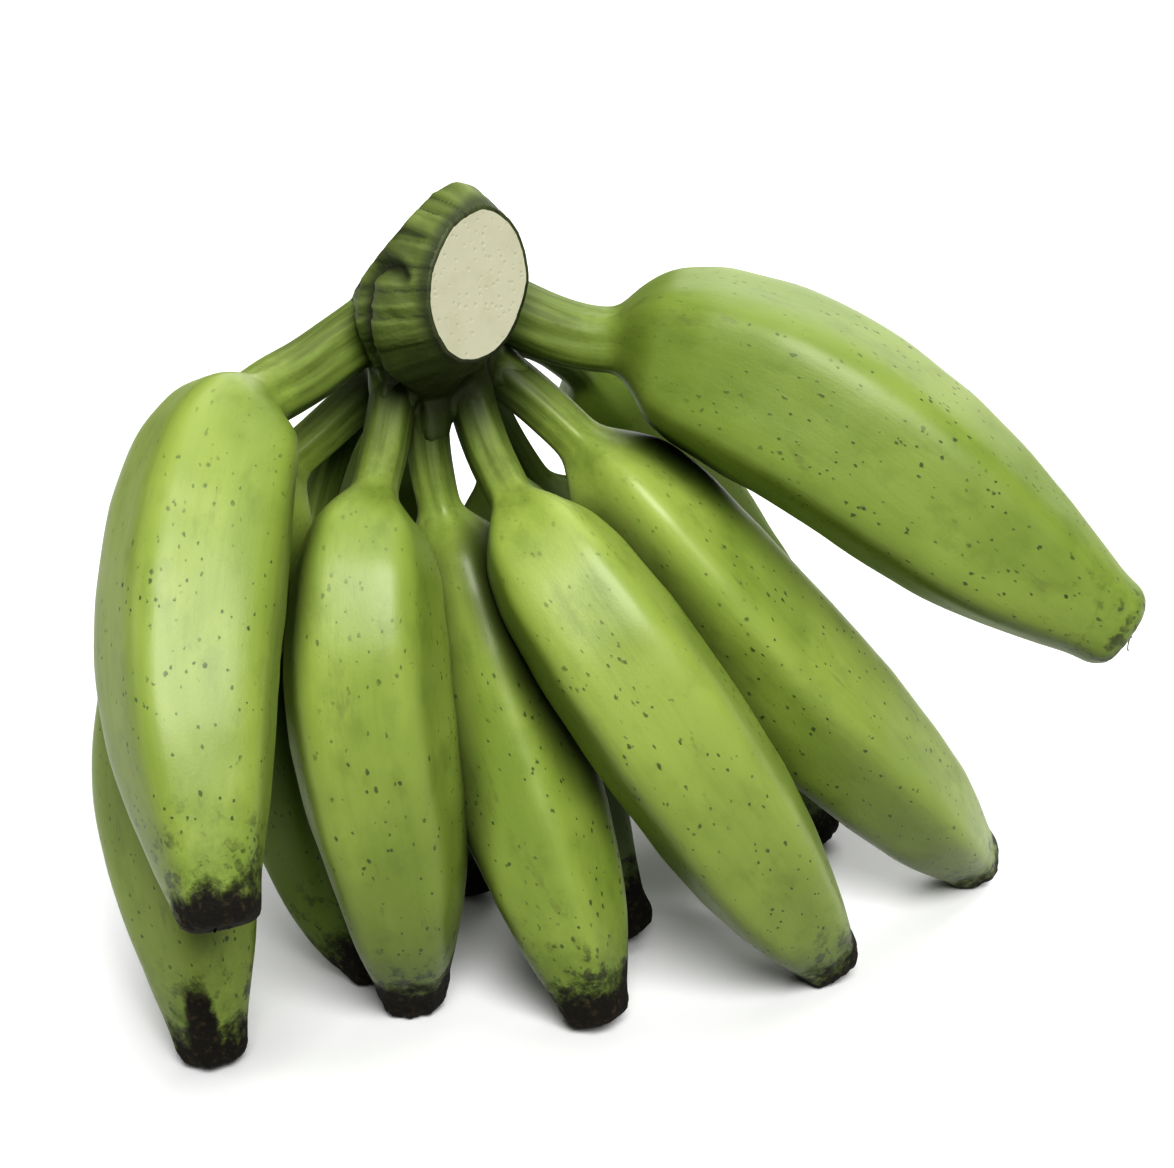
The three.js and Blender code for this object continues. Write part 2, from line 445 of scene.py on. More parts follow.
def grown_share(line, seed, dried_tip, straight, angle, section):
    """How far out each point stands, as a share of what it was on the lathed fruit."""
    far = straight[:, 2]
    to_tip = line["length"] - far
    body = smooth_step(line["shoulder"] - SHOULDER_BEFORE, line["shoulder"] + SHOULDER_AFTER, far)
    dried = 1 - smooth_step(0, max(dried_tip, 1 * MM), to_tip)
    root = smooth_step(line["edge"] - INTO_CROWN, line["edge"] + 1 * MM, far)
    angular = (0.15 + 0.85 * body) * (0.45 + 0.55 * smooth_step(0, RIDGE_FADE, to_tip))
    fluted = FLUTE_DEPTH * np.cos(RIDGES * (angle - line["turn"])) * (1 - body)
    wander = GROOVE_WANDER * lumps(straight, 30 * MM, seed + 1)
    grooves = GROOVE_DEPTH * np.cos(GROOVES * angle + wander) * (1 - body)
    ring = np.stack([np.cos(angle) * ROUND, np.sin(angle) * ROUND, far], axis=1)
    bumps = layered(ring, SWELL, seed) + dried * layered(ring, KNOBS, seed)
    lathed = (ROOT_SHARE + (1 - ROOT_SHARE) * root) * (1 + (OVER_RIDGES - 1) * body)
    return lathed * (1 + angular * (section - 1) + fluted + grooves + bumps)


def on_streak(angle, to_tip, middle, half, up):
    """How black each point is on a streak that runs up the neck, from 0 to 1."""
    off = np.abs(np.angle(np.exp(1j * (angle - middle)))) / half
    return (1 - smooth_step(0, 1, off)) * (1 - smooth_step(0.2 * up, up, to_tip))


def room_to_shade(name, places, past_crown):
    """The distance that the material's painted shade reads: to the crown, or to a neighbour."""
    return np.minimum(past_crown, 4 * MM + 2 * room_beside(name, places))


def grow(name, seed, dried_tip, tone_and_shade, streak, in_shade):
    line = LINES[name]
    chance = np.random.default_rng(seed)
    sides = line["turn"] + np.arange(RIDGES) * 2 * math.pi / RIDGES + math.pi / RIDGES
    sides = sides + chance.uniform(-0.09, 0.09, RIDGES)
    distances = 1 + chance.uniform(-0.02, 0.025, RIDGES)

    mesh = spin_outline("peel_" + name, outline_of(line), SIDES)
    straight = places_of(mesh)
    far = straight[:, 2]
    angle, out = round_axis(straight)
    section = five_sided(angle, sides, distances)
    out = out * grown_share(line, seed, dried_tip, straight, angle, section)
    places = bent(line, far, angle, out)
    places[:, 2] = np.maximum(places[:, 2], ABOVE_FLOOR)
    put_places(mesh, places)

    none = np.zeros(len(far))
    to_tip = line["length"] - far
    dark = on_streak(angle, to_tip, *streak) if streak else none
    # Painted shade near the crown, on every stalk but LIT_ROOT's.
    past_crown = far - line["edge"] if in_shade else none + 1
    turned = np.stack([out * np.cos(angle), out * np.sin(angle), far + seed], axis=1)
    keep_skin(mesh, turned, far - line["shoulder"], to_tip - dried_tip, section - 1,
              room_to_shade(name, places, past_crown), none + tone_and_shade, dark)
    return add(mesh.name, mesh)


# %% [markdown]
# The fruit differ most at their tips. One is green up to its scar, and several have kept a few
# dry, curled threads of the flower. A thread could be a curve with a thickness. Here it is a thin
# spun spike that is laid beyond the end of the fruit's own line, so that no new helper is needed.

# %% Shreds of the dried flower
SHRED_STEPS, SHRED_SIDES = 14, 7
SHRED_REACH, SHRED_TAPER = 0.8, 0.35
FROM_MIDDLE = 2.2 * MM
INTO_TIP = 1.5 * MM


def thread_on(line, length, chance):
    """One curled thread on the scar."""
    far = np.linspace(-1, 1, SHRED_STEPS)
    outline = [(0, -1), *((SHRED_REACH - SHRED_TAPER * f, f) for f in far), (0, 1)]
    thread = spin_outline("thread", outline, SHRED_SIDES)
    points = places_of(thread)
    share = 0.5 + 0.5 * points[:, 2]
    reach = length * chance.uniform(0.6, 1.1)
    curl, lean, turn = chance.uniform(0.3, 0.9), chance.uniform(0, 2 * math.pi), chance.uniform(2, 5)
    side = curl * reach * share**2
    across = points[:, :2] * MM * (1 - 0.6 * share)[:, None]
    across[:, 0] += side * np.cos(lean + turn * share) + FROM_MIDDLE * math.cos(lean)
    across[:, 1] += side * np.sin(lean + turn * share) + FROM_MIDDLE * math.sin(lean)
    along = line["length"] - INTO_TIP + reach * share
    places = bent(line, along, *round_axis(across))
    places[:, 2] = np.maximum(places[:, 2], 0.3 * MM)
    put_places(thread, places)
    return thread


def add_shreds(name, count, length, seed):
    """A few threads as one piece."""
    chance, bundle = np.random.default_rng(seed), bmesh.new()
    for _ in range(count):
        thread = thread_on(LINES[name], length, chance)
        bundle.from_mesh(thread)
        bpy.data.meshes.remove(thread)
    mesh = bpy.data.meshes.new("shreds_" + name)
    bundle.to_mesh(mesh)
    bundle.free()
    mesh.shade_smooth()
    places = places_of(mesh)
    none = np.zeros(len(places))
    keep_skin(mesh, places, none + 0.1, none - 0.02, none, none + 0.1, none, none)
    piece = add(mesh.name, mesh)
    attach(piece, "root")
    return piece


SHREDS = [
    add_shreds("front_6", 3, 4.5 * MM, 61), add_shreds("front_5", 2, 3 * MM, 51),
    add_shreds("back_5", 4, 6 * MM, 55), add_shreds("front_1", 2, 3 * MM, 11),
]
print("shreds:", [len(piece.data.polygons) for piece in SHREDS], "faces")

# %% [markdown]
# No two fruit of a hand have the same skin. Some are a darker green than others, and the back
# row, which is lit less than the front, is painted darker still: painted shade. Some tips are
# dried black for more than a centimetre, and one neck has a black streak. Each of these is one
# number for each fruit, so they are kept in small tables, and the twelve are grown in a loop.

# %% All twelve fruit
# How dark each fruit's green is, from 0 to 1. On the back row, which is the same green as the
# front but lit less, this is painted shade.
TONE_AND_SHADE = dict(
    front_1=0.25, front_2=0.1, front_3=0.2, front_4=0.1, front_5=0.0, front_6=0.5,
    back_1=0.1, back_2=1.0, back_3=0.9, back_4=1.0, back_5=0.9, back_6=1.0,
)
# The one stalk whose root gets no painted shade from the crown.
LIT_ROOT = "front_1"
# Black streaks on the neck: angle from the front, half width, how far up from the tip.
STREAKS = {"back_1": (-0.05, 0.75, 40 * MM)}
# How far back from the tip the skin is dried, in mm, or less than 0 if it is green to the scar.
DRIED_TIP = dict(
    front_1=7, front_2=14, front_3=10, front_4=9, front_5=5, front_6=-3,
    back_1=9, back_2=12, back_3=10, back_4=14, back_5=12, back_6=10,
)
PEELS = {}
for seed, name in enumerate(FRUIT, start=1):
    PEELS[name] = grow(name, seed, DRIED_TIP[name] * MM, TONE_AND_SHADE[name], STREAKS.get(name), name != LIT_ROOT)
for name, piece in PEELS.items():
    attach(piece, "root")
    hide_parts("banana_" + name)
    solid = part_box("banana_" + name)
    grown = places_of(piece.data)
    ends = zip([*grown.min(axis=0), *grown.max(axis=0)], [*solid[0], *solid[1]])
    off = [round((end - solid_end) / MM, 1) for end, solid_end in ends]
    print(f"{name}: {len(grown)} points, box off the solid's by {off} mm")

# %% [markdown]
# ## The crown
# The crown is the fleshy cushion that all the stalks grow out of, cut through with a knife. It
# could be modelled from a cube, but its solid already has the right outline and the flat cut, so
# we start from that. The script has to know where the cut is. It is the largest flat of the
# solid, so it is found by adding up the areas of the triangles that face the same way.

# %% Where the crown was cut
def triangles_of(node):
    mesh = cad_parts[node].data
    corners = np.array([v.co[:] for v in mesh.vertices])
    return corners[np.array([p.vertices[:] for p in mesh.polygons])]


def largest_flat(node):
    """(middle, direction) of the solid's largest flat face."""
    triangles = triangles_of(node)
    squares = np.cross(triangles[:, 1] - triangles[:, 0], triangles[:, 2] - triangles[:, 0])
    areas = np.linalg.norm(squares, axis=1)
    directions = squares / areas[:, None]
    alike = (directions @ directions.T > 0.9999) @ areas
    best = directions @ directions[np.argmax(alike)] > 0.9999
    middle = (triangles[best].mean(axis=1) * areas[best][:, None]).sum(axis=0) / areas[best].sum()
    return middle, directions[np.argmax(alike)]


CUT_MIDDLE, CUT_AHEAD = largest_flat("crown")
print("cut at", np.round(CUT_MIDDLE / MM), "facing", np.round(CUT_AHEAD, 2))

# %% [markdown]
# The pale end is first drawn out past the cut, because smoothing would otherwise round the cut's
# edge. Then a short, thick collar goes round the root of every stalk and follows it, so that
# crown and stalk run into each other. Moving the crown's own points out to the stalks would need
# far more points than the solid has.

# %% Collars round the stalks
DRAWN_OUT = 7 * MM
COLLAR_SIDES = 24
# [how far past the crown's edge in mm, reach as a share of the stalk's]
COLLAR = [
    (-11, 1.1), (-6, 1.26), (-1, 1.26), (2, 1.15), (5, 1.07), (7.5, 1.0), (9, 0.85), (9.5, 0.6),
]


def crown_core():
    """The crown's solid with its cut end drawn out, still open for more."""
    core = bmesh.new()
    core.from_mesh(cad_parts["crown"].data)
    bmesh.ops.remove_doubles(core, verts=core.verts, dist=1e-6)
    core.faces.ensure_lookup_table()
    core.normal_update()
    ahead = Vector(CUT_AHEAD)
    flat = [f for f in core.faces if f.normal.dot(ahead) > 0.999]
    made = bmesh.ops.extrude_face_region(core, geom=flat)["geom"]
    moved = [v for v in made if isinstance(v, bmesh.types.BMVert)]
    bmesh.ops.translate(core, verts=moved, vec=ahead * DRAWN_OUT)
    bmesh.ops.delete(core, geom=flat, context="FACES_ONLY")
    return core


def add_collar(core, line):
    edge = line["edge"]
    outline = [(0, edge + COLLAR[0][0] * MM)]
    for past, share in COLLAR:
        far = edge + past * MM
        outline.append((share * at(line, "reach", far), far))
    outline.append((0, edge + COLLAR[-1][0] * MM))
    mesh = spin_outline("collar", outline, COLLAR_SIDES)
    straight = places_of(mesh)
    put_places(mesh, bent(line, straight[:, 2], *round_axis(straight)))
    core.from_mesh(mesh)
    bpy.data.meshes.remove(mesh)


# %% [markdown]
# Crown and collars are closed shapes that pass through each other. A voxel remesh makes one skin
# of them all, and a smooth settles it into soft fillets. Joining them with booleans would leave
# sharp seams that need a bevel each. The two modifiers are applied at once, since the ribs are
# pushed into the finished skin.

# %% One skin over crown and collars
SMOOTHING, SMOOTH_PASSES = 0.6, 9


def remeshed(core, size):
    mesh = bpy.data.meshes.new("crown_skin")
    core.to_mesh(mesh)
    core.free()
    piece = add("crown_skin", mesh)
    remesh = piece.modifiers.new("one skin", "REMESH")
    remesh.mode = "VOXEL"
    remesh.voxel_size = size
    smooth = piece.modifiers.new("settle", "SMOOTH")
    smooth.factor = SMOOTHING
    smooth.iterations = SMOOTH_PASSES
    seen = piece.evaluated_get(bpy.context.evaluated_depsgraph_get())
    finished = bpy.data.meshes.new_from_object(seen)
    piece.modifiers.clear()
    piece.data = finished
    bpy.data.meshes.remove(mesh)
    return piece


core = crown_core()
for line in LINES.values():
    add_collar(core, line)
CROWN = remeshed(core, 0.9 * MM)
print("crown skin:", len(CROWN.data.polygons), "faces")

# %% [markdown]
# Ribs run back from the cut to the stalks, as on a torn bundle of celery. A texture could push
# them out, but it would need an unwrapped crown. Their pattern goes by the angle round the cut's
# middle instead, and drifts slowly with the distance from it, so that broad and narrow ribs
# mix. It fades at the back, where the angles run together.

# %% Ribs and the cut
TOWARDS_TOP = np.array([0.32, 0.3, 0.9])
CUT_TOP = unit(TOWARDS_TOP - CUT_AHEAD * (CUT_AHEAD @ TOWARDS_TOP))
CUT_SIDE = np.cross(CUT_AHEAD, CUT_TOP)


def round_cut(places):
    """(depth behind the cut, angle round it, distance out) of points of the crown."""
    out = places - CUT_MIDDLE
    depth = -(out @ CUT_AHEAD)
    return depth, np.arctan2(out @ CUT_SIDE, out @ CUT_TOP), np.hypot(out @ CUT_SIDE, out @ CUT_TOP)


def rib_height(depth, angle, out):
    """Between 0 in a groove and 1 on a rib, and even at the back of the crown."""
    drift = np.stack([np.cos(angle) * 2.2, np.sin(angle) * 2.2, depth / (50 * MM)], axis=1)
    wave = lumps(drift, 1.0, 4) * 0.9
    fine = lumps(drift, 0.42, 5) * 0.45
    broad = np.sin(13 * angle + 8 * wave + 3 * fine)
    narrow = np.sin(37 * angle + 9 * wave + 9 * fine)
    strength = smooth_step(5 * MM, 14 * MM, out) * (1 - smooth_step(30 * MM, 46 * MM, depth))
    return 0.6 + (0.3 * broad + 0.2 * narrow - 0.1) * strength


print("top of the cut lies towards", np.round(CUT_TOP, 2))

# %% [markdown]
# The sheath on top of the crown is folded: a dark crease starts behind the cut, runs back and
# turns down, and a second lobe swells inside it. Above it the sheath is stretched flat, up to
# a torn corner. Folding a sheet of cloth would take far longer. The crease is a few points on
# the unrolled crown, as depth behind the cut and angle round it, and the skin sinks along it.

# %% The folded sheath
CREASE = [(5, 99), (8, 94), (12, 91), (16, 96), (18, 108), (19, 125), (21, 145), (24, 165), (26, 190)]
UNROLLED = 18 * math.pi / 180  # mm of skin to a degree
FLAT_WAY = unit(np.array([-0.755, 0.246, 0.607]))
FLAT_REACH = 154.5 * MM
FLATTENED = 0.85
TORN_CORNER = np.array([-38, -11, 203]) * MM
RIB_DEPTH, LUMP_DEPTH = 0.8 * MM, 0.5 * MM
LOBE, CREASE_DEPTH, LIP = 1.2 * MM, 2.6 * MM, 0.9 * MM
RIM, DISH = 0.9 * MM, 0.15 * MM


def turn_of(angle):
    """An angle in degrees from 0 to 360."""
    return np.degrees(np.mod(angle, 2 * math.pi))


def from_crease(depth, angle):
    """Distance to the crease on the unrolled crown, less than 0 on its inner side, in mm."""
    here = np.stack([depth / MM, turn_of(angle) * UNROLLED], axis=1)
    line = np.array([(far, degrees * UNROLLED) for far, degrees in CREASE])
    best, inside = np.full(len(here), 1e9), np.zeros(len(here))
    for start, end in zip(line, line[1:]):
        way = end - start
        share = np.clip((here - start) @ way / (way @ way), 0, 1)
        off = here - start - share[:, None] * way
        distance = np.linalg.norm(off, axis=1)
        side = way[0] * off[:, 1] - way[1] * off[:, 0]
        inside = np.where(distance < best, np.sign(side), inside)
        best = np.minimum(best, distance)
    return best * np.where(inside == 0, 1, -inside)


def hump(distance, middle, width):
    """1 at the middle, and smoothly down to 0 on both sides."""
    return np.exp(-(((distance - middle) / width) ** 2))


def rib(piece):
    """Pushes the ribs, the lobe, the crease and its lip into the crown's skin."""
    mesh = piece.data
    places = places_of(mesh)
    normals = np.zeros(len(places) * 3)
    mesh.vertices.foreach_get("normal", normals)
    depth, angle, out = round_cut(places)
    off = from_crease(depth, angle)
    fold = LOBE * hump(off, -6, 3.5) - CREASE_DEPTH * hump(off, 0, 1.7) + LIP * hump(off, 2.8, 1.3)
    push = (rib_height(depth, angle, out) - 0.6) * RIB_DEPTH * smooth_step(-2 * MM, 5 * MM, depth)
    push += LUMP_DEPTH * lumps(places, 9 * MM, 6) + fold * smooth_step(3 * MM, 8 * MM, depth)
    places = places + normals.reshape(-1, 3) * push[:, None]
    beyond = np.maximum(0, places @ FLAT_WAY - FLAT_REACH)
    beyond *= smooth_step(2 * MM, 7 * MM, room_off(LINES[LIT_ROOT], places))
    places -= FLAT_WAY * (FLATTENED * beyond)[:, None]
    near = hump(np.linalg.norm(places - TORN_CORNER, axis=1), 0, 6 * MM)
    places += np.array([0.1, 0, 1]) * (2.6 * MM * near)[:, None]
    put_places(mesh, places)


def close_cut(piece):
    """Cuts off the drawn-out end, closes it with a flat, and gives that a narrow rim."""
    shape = bmesh.new()
    shape.from_mesh(piece.data)
    made = bmesh.ops.bisect_plane(
        shape, geom=shape.verts[:] + shape.edges[:] + shape.faces[:], dist=1e-6,
        plane_co=CUT_MIDDLE, plane_no=CUT_AHEAD, clear_outer=True,
    )
    rim = [e for e in made["geom_cut"] if isinstance(e, bmesh.types.BMEdge)]
    closed = bmesh.ops.edgeloop_fill(shape, edges=rim)["faces"]
    bmesh.ops.inset_region(shape, faces=closed, thickness=RIM, depth=DISH)
    for face in closed:
        face.material_index = 1
    bmesh.ops.recalc_face_normals(shape, faces=shape.faces)
    for face in shape.faces:
        face.smooth = face.material_index == 0
    shape.to_mesh(piece.data)
    shape.free()
    return len(closed)


rib(CROWN)
print("cut faces:", close_cut(CROWN))
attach(CROWN, "root")
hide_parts("crown")

# %% [markdown]
# ## Materials
# A small class lets shader sums be written as sums. Any other node comes from its one method,
# which sets the node up first and then gives its sockets their values or links.

# %% Shader sums
class Wire:
    """A shader socket that can be used in sums."""

    def __init__(self, tree, socket=None):
        self.tree = tree
        self.socket = socket

    def node(self, kind, settings, sockets, out=0):
        made = self.tree.nodes.new(kind)
        for name, value in settings.items():
            setattr(made, name, value)
        for name, value in sockets.items():
            if isinstance(value, Wire):
                self.tree.links.new(value.socket, made.inputs[name])
            else:
                made.inputs[name].default_value = value
        return Wire(self.tree, None if out is None else made.outputs[out])

    def _sum(self, operation, first, second):
        return self.node("ShaderNodeMath", {"operation": operation}, {0: first, 1: second})

    def __add__(self, other):
        return self._sum("ADD", self, other)

    def __sub__(self, other):
        return self._sum("SUBTRACT", self, other)

    def __rsub__(self, other):
        return self._sum("SUBTRACT", other, self)

    def __mul__(self, other):
        return self._sum("MULTIPLY", self, other)

    __radd__ = __add__
    __rmul__ = __mul__


# %% [markdown]
# Every skin here is made of the same few steps: read what a point stores, make a grain, draw it
# out, turn it into a mask, and mix two colours by that mask. Each step is a short function, so
# that a material reads as a list of what lies on what.

# %% Nodes that every material uses
def start(name):
    """A new material, as (material, its wire)."""
    material = bpy.data.materials.new(name)
    material.use_nodes = True
    material.node_tree.nodes.clear()
    return material, Wire(material.node_tree)


def stored(wire, name):
    return wire.node("ShaderNodeAttribute", {"attribute_name": name}, {}, "Vector")


def part(wire, vector, axis):
    return wire.node("ShaderNodeSeparateXYZ", {}, {"Vector": vector}, axis)


def stretched(wire, vector, along):
    """The place with its length scaled, so that a small number draws a pattern out along it."""
    sockets = {"Vector": vector, "Scale": (1, 1, along)}
    return wire.node("ShaderNodeMapping", {"vector_type": "POINT"}, sockets)


def grain(wire, vector, scale, detail=3.0, roughness=0.5):
    sockets = {"Vector": vector, "Scale": scale, "Detail": detail, "Roughness": roughness}
    return wire.node("ShaderNodeTexNoise", {}, sockets, "Fac")


def between(wire, value, low, high):
    """0 below low, 1 above high, and smooth between them."""
    settings = {"interpolation_type": "SMOOTHSTEP"}
    return wire.node("ShaderNodeMapRange", settings, {"Value": value, "From Min": low, "From Max": high})


def mixed(wire, share, first, second):
    settings = {"data_type": "RGBA"}
    return wire.node("ShaderNodeMix", settings, {0: share, 6: first, 7: second}, 2)


def finish_material(wire, colour, roughness, height, depth, coat=0.0, fixed=()):
    """The surface shader, with a bump from height, and the output."""
    uneven = {"Height": height, "Strength": 1.0, "Distance": depth}
    bump = wire.node("ShaderNodeBump", {}, uneven, "Normal")
    sockets = {"Base Color": colour, "Roughness": roughness, "Normal": bump, "Coat Weight": coat}
    surface = wire.node("ShaderNodeBsdfPrincipled", {}, {**sockets, **dict(fixed)})
    wire.node("ShaderNodeOutputMaterial", {}, {"Surface": surface}, None)


# %% [markdown]
# ### The skin of the fruit
# Unripe skin is a waxy yellow-green with darker clouds, faint streaks that run lengthwise, and
# small dark-green specks. It is olive and streaked on the stalk, and the tip is dried to a
# mottled brown-black. Along its ridges it is painted paler: a painted highlight where the gloss
# catches them. A painted texture could show it, but not as sharply from close by, and it would
# need a seam. So every pattern is a grain laid on the straight fruit, and goes where the stored
# distances say.

# %% Peel
PALE = (0.37, 0.465, 0.108, 1)
GREEN = (0.27, 0.36, 0.07, 1)
DEEP = (0.15, 0.22, 0.036, 1)
SPECK = (0.04, 0.07, 0.014, 1)
SCUFF = (0.13, 0.14, 0.055, 1)


def skin_green(wire, straight, clouds, streaks, mottle, ridge, tone_and_shade):
    colour = mixed(wire, between(wire, clouds, 0.36, 0.66), GREEN, PALE)
    colour = mixed(wire, between(wire, mottle, 0.48, 0.72) * 0.36, colour, DEEP)
    colour = mixed(wire, between(wire, streaks, 0.45, 0.75) * 0.14, colour, DEEP)
    # Paler along the ridges: a painted highlight where the gloss catches them.
    colour = mixed(wire, ridge * 0.3, colour, PALE)
    # A darker green for each fruit, which on the back row is painted shade.
    colour = mixed(wire, tone_and_shade * 0.85, colour, DEEP)
    scuffs = grain(wire, stretched(wire, straight, 0.3), 170, 4, 0.65)
    return mixed(wire, between(wire, scuffs, 0.63, 0.72) * 0.3, colour, SCUFF)


def dots(wire, vector, scale, small, large):
    """Uneven spots, 1 in the middle and 0 outside, one in each cell of a scattered pattern."""
    sockets = {"Vector": stretched(wire, vector, 0.7), "Scale": scale}
    distance = wire.node("ShaderNodeTexVoronoi", {"feature": "F1"}, sockets, "Distance")
    uneven = (grain(wire, vector, 4 * scale, 2) - 0.5) * 0.3
    return 1 - between(wire, distance + uneven, small, large)


def skin_specks(wire, straight, past_shoulder):
    """Specks of two sizes, in crowds, and fewer of them near the stalk."""
    lower = between(wire, past_shoulder, 0.0, 0.07) * 0.7 + 0.3
    crowd = between(wire, grain(wire, straight, 90, 2), 0.32, 0.54) * lower
    return (dots(wire, straight, 260, 0.06, 0.16) + dots(wire, straight, 420, 0.07, 0.17)) * crowd


# %% [markdown]
# The stalk is streaked olive. Near the crown or a neighbour, where little light comes, the skin
# is painted darker: painted shade.
# The dried tip has a ragged edge, with loose black patches before it. Both edges are moved by
# the same uneven shift, because a clean ring round the fruit would look painted on.

# %% Stalk, painted shade and dried tip
OLIVE = (0.175, 0.235, 0.055, 1)
OLIVE_DARK = (0.095, 0.125, 0.028, 1)
# The colour of the painted shade near the crown and between the fruit.
SHADED = (0.036, 0.048, 0.011, 1)
DRIED = (0.012, 0.010, 0.006, 1)
DRIED_BROWN = (0.06, 0.045, 0.022, 1)


def uneven_shift(wire, straight):
    """Between about -22 and 22 mm, and mostly less than 5."""
    fine, broad = grain(wire, straight, 260, 4, 0.65), grain(wire, straight, 60, 2)
    return (fine - 0.5) * 0.024 + (broad - 0.5) * 0.02


def olive_streaks(wire, streaks):
    return mixed(wire, between(wire, streaks, 0.38, 0.66), OLIVE, OLIVE_DARK)


def with_painted_shade(wire, room, colour):
    """The colour with painted shade, darkest where there is little room to what shades it."""
    return mixed(wire, (1 - between(wire, room, 0.004, 0.022)) * 0.85, colour, SHADED)


def dried_skin(wire, straight, colour, to_tip, shift, black):
    dull = 1 - between(wire, to_tip + shift * 1.4, 0.0, 0.02)
    colour = mixed(wire, dull * 0.55, colour, DEEP)
    patches = between(wire, grain(wire, straight, 210, 3, 0.6), 0.53, 0.6) * dull
    colour = mixed(wire, patches * 0.75, colour, DRIED)
    mottled = mixed(wire, between(wire, grain(wire, straight, 520, 3), 0.5, 0.7), DRIED, DRIED_BROWN)
    return mixed(wire, black, colour, mottled)


# %% [markdown]
# The patterns lie on one another like coats of paint, from the green to the dried tip on top.
# Each fruit could have a material of its own, but what differs is stored on the points, so one
# serves all twelve. Only the fresh skin has a waxy coat, and the dried tip is rough.

# %% The peel's material
def peel_material():
    material, wire = start("peel")
    straight, zones, shades = (stored(wire, name) for name in ("straight", "zones", "shades"))
    past_shoulder, to_tip, off_flat = (part(wire, zones, axis) for axis in "XYZ")
    room, tone_and_shade, streak = (part(wire, shades, axis) for axis in "XYZ")
    clouds = grain(wire, stretched(wire, straight, 0.6), 38, 3, 0.55)
    streaks = grain(wire, stretched(wire, straight, 0.07), 420, 3, 0.6)
    mottle = grain(wire, stretched(wire, straight, 0.7), 130, 4, 0.6)
    shift = uneven_shift(wire, straight)

    ridge = between(wire, off_flat, 0.02, 0.09)
    specks = skin_specks(wire, straight, past_shoulder)
    stalk = 1 - between(wire, past_shoulder + shift * 0.8, -0.016, 0.010)
    black = 1 - between(wire, to_tip + shift * 0.7, -0.003, 0.006)
    black = 1 - (1 - black) * (1 - between(wire, streak + shift * 30, 0.3, 0.62))

    colour = skin_green(wire, straight, clouds, streaks, mottle, ridge, tone_and_shade)
    colour = mixed(wire, specks * 0.85, colour, SPECK)
    colour = mixed(wire, stalk * 0.8, colour, olive_streaks(wire, streaks))
    # Painted shade near the crown and between the fruit.
    colour = with_painted_shade(wire, room, colour)
    colour = dried_skin(wire, straight, colour, to_tip, shift, black)

    rough = 0.42 + clouds * 0.14 + black * 0.35 + stalk * 0.12
    height = grain(wire, straight, 1500, 2, 0.5) * 0.12 + streaks * 0.2 * (1 + stalk * 1.5)
    height = height - specks * 0.25 + mottle * 0.3 + black * grain(wire, straight, 480, 4, 0.7) * 3.0
    coat = (1 - black) * (1 - stalk * 0.8) * (1 - tone_and_shade * 0.7) * 0.46
    fixed = {"Coat Roughness": 0.36, "Specular IOR Level": 0.4}
    finish_material(wire, colour, rough, height, 0.35 * MM, coat, fixed)
    return material


PEEL = peel_material()
for piece in [*PEELS.values(), *SHREDS]:
    piece.data.materials.append(PEEL)
print("peel nodes:", len(PEEL.node_tree.nodes))

# %% [markdown]
# ### The crown and its cut
# The crown is a darker, duller green than the fruit, with light ribs. Its grooves, its crease
# and its underside are painted nearly black, and so are the roots of the stalks where they press
# together: painted shade, though the underside is partly a darker skin of its own as well. It
# could be one colour with bumps, shaded by the light alone. So its points store the depth
# behind the cut, the height of the ribs and the crease, and the colour follows the shape.

# %% Crown
CROWN_GREEN = (0.125, 0.165, 0.038, 1)
CROWN_LIGHT = (0.21, 0.265, 0.075, 1)
# Used for the crown's own dark clouds and rim, and for its painted shade.
CROWN_DARK = (0.02, 0.025, 0.008, 1)
ON_STALK = 1.7  # the collars end within this share of the stalk's reach
PATTERN_FROM = 14 * MM


def past_edge(places):
    """How far out along a stalk each point is, or less than 0 on the crown itself."""
    best = np.full(len(places), -5 * MM)
    for line in LINES.values():
        near = (line["far"] > line["edge"] - 4 * MM) & (line["far"] < line["edge"] + 14 * MM)
        gaps = np.linalg.norm(places[:, None] - line["middle"][near][None], axis=2)
        closest = gaps.argmin(axis=1)
        reach = line["reach"][near][closest]
        on_stalk = gaps.min(axis=1) < ON_STALK * reach
        best = np.where(on_stalk, np.maximum(best, line["far"][near][closest] - line["edge"]), best)
    return best


def keep_ribs(piece):
    """Stores where each point is: behind the cut, on a rib, in a crease, along a stalk."""
    places = places_of(piece.data)
    depth, angle, out = round_cut(places)
    turn = turn_of(angle)
    # Painted shade along the crease, and on the underside, which is partly a darker skin as well.
    crease = hump(from_crease(depth, angle), 0, 2) * smooth_step(2 * MM, 7 * MM, depth)
    under = smooth_step(125, 185, turn) * (1 - smooth_step(225, 288, turn))
    dark = np.maximum(crease, 0.92 * under)
    keep(piece.data, "ribs", np.stack([depth, rib_height(depth, angle, out), dark], axis=1))
    reach = np.minimum(out / PATTERN_FROM, 1) * ROUND
    keep(piece.data, "straight", np.stack([np.cos(angle) * reach, np.sin(angle) * reach, depth], axis=1))
    past = past_edge(places)
    keep(piece.data, "shades", np.stack([past, past * 0, past * 0], axis=1))


